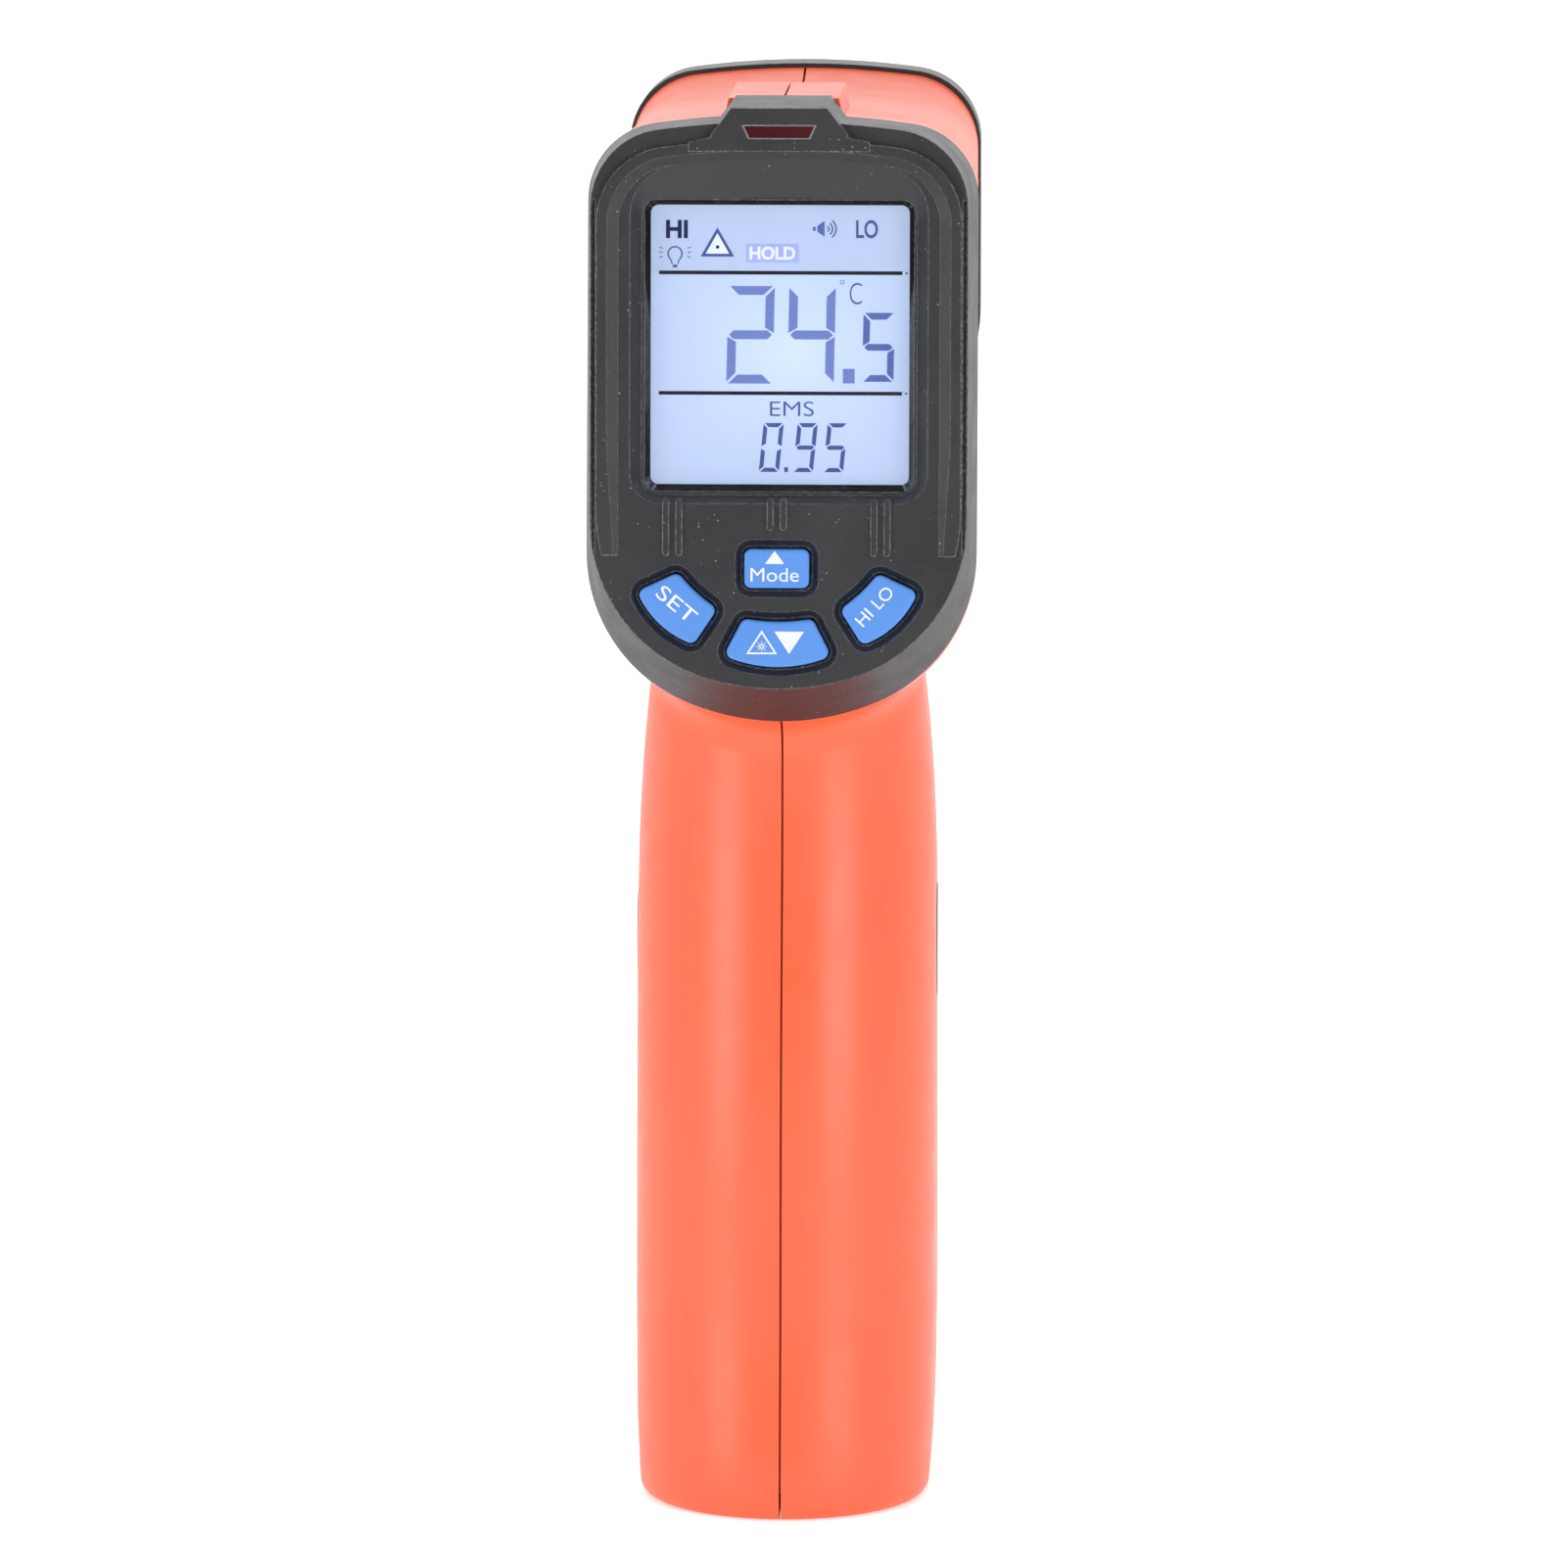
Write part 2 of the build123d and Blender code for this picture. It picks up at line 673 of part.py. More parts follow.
with BuildPart() as buzzer:
    add(disc(5.5, 9.6, 49.4, board_back, board_back - 4))
    add(disc(1.0, 9.6, 49.4, board_back - 3, board_back - 5), mode=Mode.SUBTRACT)
write(buzzer.part, "buzzer")

switch_top = BOARD_FRONT + SWITCH_TALL
with BuildPart() as tact_switches:
    for key in KEYS.values():
        u, v = key["stem"]
        add(tile(u - 1.9, u + 1.9, v - 1.9, v + 1.9, switch_top - 0.4, BOARD_FRONT))
        add(disc(1.2, u, v, switch_top, switch_top - 0.4))
write(tact_switches.part, "tact_switches")

with BuildPart() as keypad_carrier:
    carrier = shield(FACE_HALF, 0, FACE_HIGH, inset=2.4)
    add(slab(carrier, CARRIER_FRONT, CARRIER_FRONT - CARRIER_THICK))
    add(tile(-25, 25, DISPLAY_LOW - 1.1, 70, 0, -12), mode=Mode.SUBTRACT)
    for key in KEYS.values():
        u, v = key["stem"]
        add(disc(STEM_RADIUS + 0.5, u, v, 0, -12), mode=Mode.SUBTRACT)
    for u, v, radius in BOARD_BOSSES:
        add(disc(radius + 0.1, u, v, 0, -12), mode=Mode.SUBTRACT)
write(keypad_carrier.part, "keypad_carrier")

# Keys ---------------------------------------------------------------------------------------

for name, key in KEYS.items():
    u, v = key["stem"]
    with BuildPart() as cap:
        add(slab(key_outline(key), KEY_PROUD, -BEZEL_WALL))
        fillet(cap.faces().sort_by(Axis.Y)[0].edges(), 0.35)
        add(slab(key_outline(key, KEY_FLANGE), -BEZEL_WALL, -BEZEL_WALL - 0.6))
        add(disc(STEM_RADIUS, u, v, -BEZEL_WALL - 0.6, STEM_END))
    write(cap.part, name)

# Optics -------------------------------------------------------------------------------------


def ring_along_y(outer_radius, inner_radius, start, end, z=OPTIC_Z):
    """A tube, or a rod where the inner radius is 0, along Y."""
    with BuildPart() as tube:
        with BuildSketch(leaning_plane(start, z, 0)):
            Circle(outer_radius)
            if inner_radius:
                Circle(inner_radius, mode=Mode.SUBTRACT)
        extrude(amount=start - end)
    return tube.part


def nose_slab(inset, start, end):
    """A solid of the nose's outline, drawn in by inset, between two stations."""
    with BuildPart() as solid:
        with BuildSketch(leaning_plane(start, NOSE_LOW, 0)):
            add(shield(NOSE_HALF, 0, NOSE_HIGH, inset=inset))
        extrude(amount=start - end)
    return solid.part


with BuildPart() as nose_bezel:
    add(nose_slab(0, NOSE_START, NOSE_END))
    fillet(nose_bezel.faces().sort_by(Axis.Y)[-1].edges(), 1.2)
    add(nose_slab(2.4, PLATE_FRONT, NOSE_END + 1), mode=Mode.SUBTRACT)
    add(nose_slab(3.9, NOSE_START - 1, PLATE_FRONT - PLATE_THICK), mode=Mode.SUBTRACT)
    add(nose_slab(2.9, NOSE_START - 2, NOSE_START + 2))
    add(nose_slab(3.9, NOSE_START - 3, NOSE_START + 3), mode=Mode.SUBTRACT)
    add(ring_along_y(11.6, 0, NOSE_START + 0.25, PLATE_FRONT))
    with BuildSketch(leaning_plane(NOSE_START, OPTIC_Z, 0)):
        Circle(7.0)
    with BuildSketch(leaning_plane(PLATE_FRONT, OPTIC_Z, 0)):
        Circle(10.2)
    loft(mode=Mode.SUBTRACT)
    add(ring_along_y(2.0, 0, 60, 70, LASER_Z), mode=Mode.SUBTRACT)
    add(ring_along_y(3.0, 0, 60, PLATE_FRONT - 1.0, LASER_Z), mode=Mode.SUBTRACT)
write(nose_bezel.part, "nose_bezel")

with BuildPart() as lens_barrel:
    add(ring_along_y(9.0, 6.25, 35.6, 60.3))
    add(ring_along_y(11.0, 6.25, 58.3, 60.3))
    add(ring_along_y(7.0, 0, 57.5, 61), mode=Mode.SUBTRACT)
write(lens_barrel.part, "lens_barrel")

with BuildPart() as ir_lens:
    # flat at the back, domed towards the target
    back = 57.5
    rim_z = OPTIC_Z + 6.95
    with BuildSketch(side):
        with BuildLine():
            Polyline((back + 1.2, rim_z), (back, rim_z), (back, OPTIC_Z), (back + 2, OPTIC_Z))
            ThreePointArc((back + 2, OPTIC_Z), (back + 1.8, OPTIC_Z + 3.5), (back + 1.2, rim_z))
        make_face()
    revolve(axis=Axis((0, 0, OPTIC_Z), (0, 1, 0)))
write(ir_lens.part, "ir_lens")

with BuildPart() as lens_retainer:
    add(ring_along_y(6.95, 6.1, 59.55, 60.3))
write(lens_retainer.part, "lens_retainer")

with BuildPart() as thermopile_sensor:
    add(ring_along_y(4.6, 0, 35.6, 36.2))
    add(ring_along_y(4.1, 0, 36.2, 40.2))
    add(ring_along_y(1.3, 0, 39.8, 41), mode=Mode.SUBTRACT)
write(thermopile_sensor.part, "thermopile_sensor")

with BuildPart() as sensor_board:
    add(ring_along_y(11.0, 0, 34.0, 35.6))
write(sensor_board.part, "sensor_board")

with BuildPart() as laser_module:
    add(ring_along_y(3.0, 0, 48.2, 62.5, LASER_Z))
    add(ring_along_y(1.1, 0, 61, 63, LASER_Z), mode=Mode.SUBTRACT)
write(laser_module.part, "laser_module")

with BuildPart() as laser_window:
    add(ring_along_y(2.95, 0, 63.4, PLATE_FRONT - 1.0, LASER_Z))
write(laser_window.part, "laser_window")

with BuildPart() as laser_clip:
    add(block((-5, 52, LASER_Z - 5), (5, 57, LASER_Z + 5)))
    add(ring_along_y(3.0, 0, 50, 60, LASER_Z), mode=Mode.SUBTRACT)
write(laser_clip.part, "laser_clip")


def face_point(u, v, depth):
    """A point given by its place on the face and its depth."""
    return face.origin + face.x_dir * u + face.y_dir * v + face.z_dir * depth


def wire(points, radius, bend):
    """A wire along straight runs with one bend radius."""
    with BuildPart() as lead:
        with BuildLine() as path:
            if len(points) > 2:
                FilletPolyline(*points, radius=bend)
            else:
                Line(*points)
        with BuildSketch(Plane(origin=path.line @ 0, z_dir=path.line % 0)):
            Circle(radius)
        sweep()
    return lead.part


with BuildPart() as laser_leads:
    add(tile(-2.5, 2.5, 50.5, 53.5, board_back, board_back - 2.6))
    for u in (-1.2, 1.2):
        start = face_point(u, 52, board_back - 2.5)
        add(wire([start, (u, 48.2, LASER_Z)], 0.45, 0))
write(laser_leads.part, "laser_leads")

with BuildPart() as sensor_ribbon:
    add(tile(-5, 5, 12, 15, board_back, board_back - 2.4))
    end = face_point(0, 13.5, board_back - 2.2)
    with BuildSketch(side):
        with BuildLine():
            Polyline(
                (end.Y, end.Z),
                (8, 114),
                (34, 122),
                (34, 122.4),
                (8, 114.4),
                (end.Y, end.Z + 0.4),
                close=True,
            )
        make_face()
    extrude(amount=4, both=True)
write(sensor_ribbon.part, "sensor_ribbon")

# Trigger and its switch ---------------------------------------------------------------------

with BuildPart() as trigger:
    with BuildSketch(side):
        with BuildLine():
            Polyline((12, 97), (12, 73), (14, 70.6), (24.4, 70.6))
            ThreePointArc((24.4, 70.6), (26.8, 71.6), (27.8, 74.0))
            ThreePointArc((27.8, 74.0), (24.4, 87), (29.0, 100.4))
            Polyline((29.0, 100.4), (20.0, 104.6), (15, 106), (12, 97))
        make_face()
        with Locations((PIVOT_Y, PIVOT_Z)):
            Circle(4.4)
    extrude(amount=TRIGGER_HALF, both=True)
    front = [
        edge
        for edge in trigger.edges()
        if abs(abs(edge.center().X) - TRIGGER_HALF) < 0.01
        and edge.center().Y > 23.8
        and edge.center().Z < 98
    ]
    fillet(front, 1.2)
    add(crossbar(PIN_RADIUS + 0.05, PIVOT_Y, PIVOT_Z, -10, 10), mode=Mode.SUBTRACT)
    with BuildSketch(leaning_plane(12, PIVOT_Z - NUB_DROP, 0)):
        Circle(1.2)
    extrude(amount=0.6, taper=30)
write(trigger.part, "trigger")

with BuildPart() as trigger_pin:
    add(crossbar(PIN_RADIUS, PIVOT_Y, PIVOT_Z, -PIN_HALF, PIN_HALF))
write(trigger_pin.part, "trigger_pin")

with BuildPart() as trigger_spring:
    coil = Helix(pitch=1.47, height=8.8, radius=2.3, center=(0, 2.85, SPRING_Z), direction=(0, 1, 0))
    with BuildSketch(Plane(origin=coil @ 0, z_dir=coil % 0)):
        Circle(0.25)
    sweep(path=coil, is_frenet=True)
write(trigger_spring.part, "trigger_spring")

plunger_z = PIVOT_Z - NUB_DROP
with BuildPart() as switch_body:
    add(block((-5, 3.1, 86), (5, 9.6, 94)))
    add(ring_along_y(1.25, 0, 4.2, 10, plunger_z), mode=Mode.SUBTRACT)
write(switch_body.part, "switch_body")

with BuildPart() as switch_plunger:
    add(ring_along_y(1.2, 0, 6.0, 11.3, plunger_z))
write(switch_plunger.part, "switch_plunger")

with BuildPart() as switch_board:
    add(block((-12.4, 1.45, 82), (12.4, 3.05, 98)))
write(switch_board.part, "switch_board")

# Battery, its leads and its door ------------------------------------------------------------

battery_wide, battery_deep, battery_tall = BATTERY
battery_top = BATTERY_Z + battery_tall
with BuildPart() as battery:
    with BuildSketch(Plane.XY.offset(BATTERY_Z)):
        with Locations((0, BATTERY_Y)):
            RectangleRounded(battery_wide, battery_deep, 2.6)
    extrude(amount=battery_tall)
write(battery.part, "battery")

stud_x = 6.35
with BuildPart() as battery_terminals:
    for x, radius in ((-stud_x, 2.9), (stud_x, 4.0)):
        with BuildSketch(Plane.XY.offset(battery_top)):
            with Locations((x, BATTERY_Y)):
                Circle(radius)
        extrude(amount=2.6)
write(battery_terminals.part, "battery_terminals")

snap_top = battery_top + 4.4
with BuildPart() as battery_snap:
    with BuildSketch(Plane.XY.offset(battery_top + 1.2)):
        with Locations((0, BATTERY_Y)):
            RectangleRounded(24.5, 11, 4)
            with Locations((-stud_x, 0)):
                Circle(3.0, mode=Mode.SUBTRACT)
            with Locations((stud_x, 0)):
                Circle(4.1, mode=Mode.SUBTRACT)
    extrude(amount=1.6)
    with BuildSketch(Plane.XY.offset(battery_top + 2.8)):
        with Locations((0, BATTERY_Y)):
            RectangleRounded(24.5, 11, 4)
    extrude(amount=1.6)
write(battery_snap.part, "battery_snap")

for name, x in (("battery_lead_red", 4.5), ("battery_lead_black", -4.5)):
    end = face_point(x / 2, 8.5, board_back)
    with BuildPart() as lead:
        low = (x, BATTERY_Y - 3.5, snap_top)
        bend = (x, BATTERY_Y - 3.5, 90)
        add(wire([low, bend, (end.X, end.Y + 0.4, end.Z)], 0.7, 12))
    write(lead.part, name)

with BuildPart() as battery_door:
    add(outer)
    add(cavity, mode=Mode.SUBTRACT)
    add(door_zone(DOOR_REACH, DOOR_SPLIT + DOOR_GAP), mode=Mode.INTERSECT)
    add(block((-30, 0, 0), (30, 40, HINGE_Z)), mode=Mode.SUBTRACT)
    for low_x in (-30, BARREL_HALF + 0.1):
        high_x = low_x + 30 - BARREL_HALF - 0.1
        add(crossbar(BARREL_RADIUS + 0.3, HINGE_Y, HINGE_Z, low_x, high_x), mode=Mode.SUBTRACT)
    add(crossbar(BARREL_RADIUS, HINGE_Y, HINGE_Z, -BARREL_HALF, BARREL_HALF))
    add(crossbar(HINGE_PIN, HINGE_Y, HINGE_Z, -13.2, 13.2))
    for z in (50.5, 53.0, 55.5, 58.0):
        front = 19.6 - (z - 40) * 0.0636
        add(block((-7, front - 0.45, z - 0.5), (7, front + 2, z + 0.5)), mode=Mode.SUBTRACT)
write(battery_door.part, "battery_door")

with BuildPart() as battery_pad:
    add(block((-6.4, BATTERY_Y + battery_deep / 2 + 0.5, 22), (6.4, 25, 42)))
    add(cavity, mode=Mode.INTERSECT)
write(battery_pad.part, "battery_pad")

# Fasteners and trim -------------------------------------------------------------------------

with BuildPart() as housing_screws:
    for y, z in HOUSING_SCREWS:
        add(crossbar(SCREW_HEAD, y, z, -9, -7))
        add(crossbar(SCREW_RADIUS, y, z, -7, 9))
        add(block((-10, y - 1.5, z - 0.3), (-8, y + 1.5, z + 0.3)), mode=Mode.SUBTRACT)
        add(block((-10, y - 0.3, z - 1.5), (-8, y + 0.3, z + 1.5)), mode=Mode.SUBTRACT)
write(housing_screws.part, "housing_screws")

for name, outward in (("grip_badge_left", -1), ("grip_badge_right", 1)):
    with BuildPart() as badge:
        with BuildSketch(Plane.YZ.offset(outward * (17.0 - BADGE_DEEP))):
            with Locations((BADGE_Y, BADGE_Z)):
                Ellipse(BADGE_HALF_Y - 0.12, BADGE_HALF_Z - 0.12)
        extrude(amount=outward * BADGE_DEEP)
        fillet(badge.faces().sort_by(Axis.X)[-1 if outward > 0 else 0].edges(), 0.3)
    write(badge.part, name)
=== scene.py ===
"""Looks of the infrared thermometer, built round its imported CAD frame.

Everything is in metres in the CAD frame: +Z up the grip, +Y towards the nose, -Y towards the operator.
Prints and display artwork are laid out on the leaning face in millimetres, u to the right and v up it.
"""

import json
import math

import bmesh
import bpy
from mathutils import Matrix, Vector


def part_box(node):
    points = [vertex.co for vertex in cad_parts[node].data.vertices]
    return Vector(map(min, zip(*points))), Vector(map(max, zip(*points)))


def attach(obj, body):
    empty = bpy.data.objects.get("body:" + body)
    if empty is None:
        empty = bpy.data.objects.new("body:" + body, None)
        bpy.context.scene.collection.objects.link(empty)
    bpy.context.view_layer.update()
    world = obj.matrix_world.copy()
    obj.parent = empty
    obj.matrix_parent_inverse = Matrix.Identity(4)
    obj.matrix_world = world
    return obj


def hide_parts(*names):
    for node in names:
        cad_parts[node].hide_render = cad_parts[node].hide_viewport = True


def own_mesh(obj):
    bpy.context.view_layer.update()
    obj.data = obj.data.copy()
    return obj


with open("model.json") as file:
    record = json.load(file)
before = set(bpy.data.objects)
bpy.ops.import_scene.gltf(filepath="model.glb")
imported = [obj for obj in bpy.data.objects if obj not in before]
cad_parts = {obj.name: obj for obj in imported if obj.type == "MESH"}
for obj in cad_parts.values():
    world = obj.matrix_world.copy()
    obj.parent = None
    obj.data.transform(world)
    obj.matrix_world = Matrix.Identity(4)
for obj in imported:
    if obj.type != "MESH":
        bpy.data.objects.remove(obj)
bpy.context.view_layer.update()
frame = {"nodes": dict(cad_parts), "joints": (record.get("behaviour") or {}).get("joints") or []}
nodes = frame["nodes"]

MM = 0.001

# The leaning face, as the CAD has it ---------------------------------------------------------

press_axis = Vector(next(j["axis"] for j in frame["joints"] if j["name"] == "mode_press"))
FACE_OUT = -press_axis.normalized()
FACE_RIGHT = Vector((1, 0, 0))
FACE_UP = FACE_OUT.cross(FACE_RIGHT)
FACE_FOOT = Vector((0, -28.0, 94.9)) * MM  # the face's middle line starts here
LCD_DEPTH = -4.3  # the liquid crystal panel's front, below the face
KEY_TOP = 0.9  # how far the keys stand proud of the face


def face_matrix(u=0.0, v=0.0, depth=0.0, turn=0.0):
    """Carries millimetres on the face, turned by turn degrees about (u, v), to the frame in metres."""
    place = Matrix.Identity(4)
    for column, axis in enumerate((FACE_RIGHT, FACE_UP, FACE_OUT)):
        for row in range(3):
            place[row][column] = axis[row] * MM
    place.translation = FACE_FOOT + (FACE_RIGHT * u + FACE_UP * v + FACE_OUT * depth) * MM
    return place @ Matrix.Rotation(math.radians(turn), 4, "Z")


# Materials -----------------------------------------------------------------------------------


def blank(name):
    """A new material with its tree and its Principled shader."""
    material = bpy.data.materials.new(name)
    material.use_nodes = True
    tree = material.node_tree
    shader = next(n for n in tree.nodes if n.type == "BSDF_PRINCIPLED")
    return material, tree, shader


def noise(tree, scale, detail=2.0, rough=0.5, stretch=(1, 1, 1)):
    """A noise value between 0 and 1, with features about 1 / scale metres across."""
    coords = tree.nodes.new("ShaderNodeTexCoord")
    mapping = tree.nodes.new("ShaderNodeMapping")
    mapping.inputs["Scale"].default_value = stretch
    texture = tree.nodes.new("ShaderNodeTexNoise")
    texture.inputs["Scale"].default_value = scale
    texture.inputs["Detail"].default_value = detail
    texture.inputs["Roughness"].default_value = rough
    tree.links.new(coords.outputs["Object"], mapping.inputs["Vector"])
    tree.links.new(mapping.outputs["Vector"], texture.inputs["Vector"])
    return texture.outputs["Fac"]


def spread(tree, value, low, high, start=0.3, end=0.7):
    """A value mapped from start..end to low..high."""
    ramp = tree.nodes.new("ShaderNodeMapRange")
    ramp.inputs["From Min"].default_value = start
    ramp.inputs["From Max"].default_value = end
    ramp.inputs["To Min"].default_value = low
    ramp.inputs["To Max"].default_value = high
    tree.links.new(value, ramp.inputs["Value"])
    return ramp.outputs["Result"]


def mixed(tree, share, first, second):
    """A colour between first and second, each an RGB triple or a socket."""
    mix = tree.nodes.new("ShaderNodeMix")
    mix.data_type = "RGBA"
    tree.links.new(share, mix.inputs["Factor"])
    for socket, colour in ((mix.inputs[6], first), (mix.inputs[7], second)):
        if isinstance(colour, tuple):
            socket.default_value = (*colour, 1.0)
        else:
            tree.links.new(colour, socket)
    return mix.outputs[2]


def specks(tree, scale, size):
    """1 on specks of dust that lie here and there, 0 elsewhere."""
    coords = tree.nodes.new("ShaderNodeTexCoord")
    cells = tree.nodes.new("ShaderNodeTexVoronoi")
    cells.inputs["Scale"].default_value = scale
    tree.links.new(coords.outputs["Object"], cells.inputs["Vector"])
    dots = spread(tree, cells.outputs["Distance"], 1.0, 0.0, size * 0.6, size)
    both = tree.nodes.new("ShaderNodeMath")
    both.operation = "MULTIPLY"
    tree.links.new(dots, both.inputs[0])
    tree.links.new(spread(tree, noise(tree, scale / 4, 2.0), 0.0, 1.0, 0.54, 0.62), both.inputs[1])
    return both.outputs["Value"]


def bumped(tree, shader, layers, edge=0.0):
    """Relief from (height socket, depth in metres) layers, over edges rounded by edge metres."""
    normal = None
    if edge:
        bevel = tree.nodes.new("ShaderNodeBevel")
        bevel.samples = 6
        bevel.inputs["Radius"].default_value = edge
        normal = bevel.outputs["Normal"]
    for height, depth in layers:
        bump = tree.nodes.new("ShaderNodeBump")
        bump.inputs["Distance"].default_value = depth
        tree.links.new(height, bump.inputs["Height"])
        if normal is not None:
            tree.links.new(normal, bump.inputs["Normal"])
        normal = bump.outputs["Normal"]
    if normal is not None:
        tree.links.new(normal, shader.inputs["Normal"])


def edges(tree, radius, gain=14.0):
    """1 along sharp edges, 0 on open surfaces: where rounding by radius metres turns the normal."""
    bevel = tree.nodes.new("ShaderNodeBevel")
    bevel.samples = 6
    bevel.inputs["Radius"].default_value = radius
    facet = tree.nodes.new("ShaderNodeNewGeometry")
    agree = tree.nodes.new("ShaderNodeVectorMath")
    agree.operation = "DOT_PRODUCT"
    tree.links.new(bevel.outputs["Normal"], agree.inputs[0])
    tree.links.new(facet.outputs["Normal"], agree.inputs[1])
    return spread(tree, agree.outputs["Value"], 1.0, 0.0, 1.0 - 2.0 / gain, 1.0 - 0.15 / gain)


def shaded(colour, factor):
    return tuple(min(1.0, c * factor) for c in colour)


def plastic(name, colour, rough, grain=5000.0, depth=6e-6, vary=0.05, edge=0.0002, dust=0.0, edge_highlight=None,
            **sockets):
    """Moulded plastic or rubber: spark-eroded grain, faint flow marks, uneven gloss and a painted edge
    highlight.
    """
    material, tree, shader = blank(name)
    cloud = noise(tree, 90.0, 3.0)
    tint = mixed(tree, spread(tree, cloud, 0.0, 1.0), shaded(colour, 1 - vary), shaded(colour, 1 + vary))
    if dust:
        tint = mixed(tree, specks(tree, 1400.0, dust), tint, (0.30, 0.30, 0.29))
    # Painted highlight: a lighter colour in broken spots along sharp edges, standing in for the light the
    # edges catch.
    if edge_highlight:
        highlight_spots = tree.nodes.new("ShaderNodeMath")
        highlight_spots.operation = "MULTIPLY"
        tree.links.new(edges(tree, 0.00016), highlight_spots.inputs[0])
        tree.links.new(spread(tree, noise(tree, 2600.0, 2.0), 0.15, 1.0, 0.42, 0.58), highlight_spots.inputs[1])
        tint = mixed(tree, highlight_spots.outputs["Value"], tint, edge_highlight)
    tree.links.new(tint, shader.inputs["Base Color"])
    gloss = noise(tree, 260.0, 4.0)
    tree.links.new(spread(tree, gloss, rough * 0.9, rough * 1.1), shader.inputs["Roughness"])
    fine = noise(tree, grain, 3.0, 0.6)
    coarse = noise(tree, grain / 3.3, 2.0)
    bumped(tree, shader, [(fine, depth), (coarse, depth)], edge)
    for key, value in sockets.items():
        shader.inputs[key.replace("_", " ")].default_value = value
    return material


def metal(name, colour, rough, stretch=(1, 1, 1), grain=3000.0):
    """Bare or plated metal with fine machining marks."""
    material, tree, shader = blank(name)
    marks = noise(tree, grain, 3.0, 0.6, stretch)
    tree.links.new(mixed(tree, marks, shaded(colour, 0.85), shaded(colour, 1.1)), shader.inputs["Base Color"])
    tree.links.new(spread(tree, marks, rough * 0.75, rough * 1.3), shader.inputs["Roughness"])
    shader.inputs["Metallic"].default_value = 1.0
    bumped(tree, shader, [(marks, 3e-6)], 0.0001)
    return material


def glass(name, colour, rough, ior=1.49, smear=300.0):
    """Clear or tinted glass with faint smears."""
    material, tree, shader = blank(name)
    shader.inputs["Base Color"].default_value = (*colour, 1.0)
    shader.inputs["Transmission Weight"].default_value = 1.0
    shader.inputs["IOR"].default_value = ior
    film = noise(tree, smear, 4.0)
    tree.links.new(spread(tree, film, rough, rough + 0.03), shader.inputs["Roughness"])
    return material


def lcd_glass():
    """The lit liquid crystal panel: pale lavender blue, brightest in its middle and dimmer at the top."""
    material, tree, shader = blank("lcd_glass")
    low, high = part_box("lcd_panel")
    middle = (low + high) / 2
    coords = tree.nodes.new("ShaderNodeTexCoord")
    mapping = tree.nodes.new("ShaderNodeMapping")
    mapping.vector_type = "TEXTURE"
    mapping.inputs["Location"].default_value = (middle.x + 1.5 * MM, middle.y, middle.z - 0.5 * MM)
    mapping.inputs["Scale"].default_value = (16.5 * MM, 60 * MM, 15.5 * MM)
    glow = tree.nodes.new("ShaderNodeTexGradient")
    glow.gradient_type = "QUADRATIC_SPHERE"
    tree.links.new(coords.outputs["Object"], mapping.inputs["Vector"])
    tree.links.new(mapping.outputs["Vector"], glow.inputs["Vector"])
    split = tree.nodes.new("ShaderNodeSeparateXYZ")
    tree.links.new(coords.outputs["Object"], split.inputs["Vector"])
    rule = high.z - 9.4 * MM  # the first ruled line
    top = spread(tree, split.outputs["Z"], 0.0, 1.0, rule - 0.3 * MM, rule + 0.3 * MM)
    field = mixed(tree, glow.outputs["Fac"], (0.43, 0.54, 0.80), (0.62, 0.75, 0.93))
    field = mixed(tree, top, field, (0.37, 0.46, 0.68))
    cloud = noise(tree, 160.0, 3.0)
    field_soft = mixed(tree, spread(tree, cloud, 0.0, 0.10), field, (0.60, 0.62, 0.92))
    tree.links.new(field_soft, shader.inputs["Base Color"])
    shader.inputs["Roughness"].default_value = 0.25
    shader.inputs["Emission Color"].default_value = (0.62, 0.74, 1.0, 1.0)
    shader.inputs["Emission Strength"].default_value = 0.5
    bumped(tree, shader, [(noise(tree, 2500.0, 2.0), 1e-6)])
    return material


def ink(name, colour, rough=0.5, glow=0.0):
    """Printed ink or a darkened liquid crystal segment, a little uneven."""
    material, tree, shader = blank(name)
    cover = noise(tree, 1500.0, 3.0)
    tree.links.new(mixed(tree, cover, shaded(colour, 0.9), shaded(colour, 1.08)), shader.inputs["Base Color"])
    shader.inputs["Roughness"].default_value = rough
    if glow:
        shader.inputs["Emission Color"].default_value = (*colour, 1.0)
        shader.inputs["Emission Strength"].default_value = glow
    bumped(tree, shader, [(cover, 2e-6)])
    return material


def circuit_board():
    """Green solder mask with faint copper tracks under it."""
    material, tree, shader = blank("circuit_board")
    coords = tree.nodes.new("ShaderNodeTexCoord")
    tracks = tree.nodes.new("ShaderNodeTexBrick")
    tracks.inputs["Scale"].default_value = 420.0
    tracks.inputs["Mortar Size"].default_value = 0.06
    tracks.inputs["Color1"].default_value = (0.010, 0.085, 0.035, 1)
    tracks.inputs["Color2"].default_value = (0.013, 0.10, 0.042, 1)
    tracks.inputs["Mortar"].default_value = (0.03, 0.19, 0.07, 1)
    tree.links.new(coords.outputs["Object"], tracks.inputs["Vector"])
    tree.links.new(tracks.outputs["Color"], shader.inputs["Base Color"])
    shader.inputs["Roughness"].default_value = 0.28
    bumped(tree, shader, [(tracks.outputs["Fac"], 1.2e-5)], 0.0001)
    return material


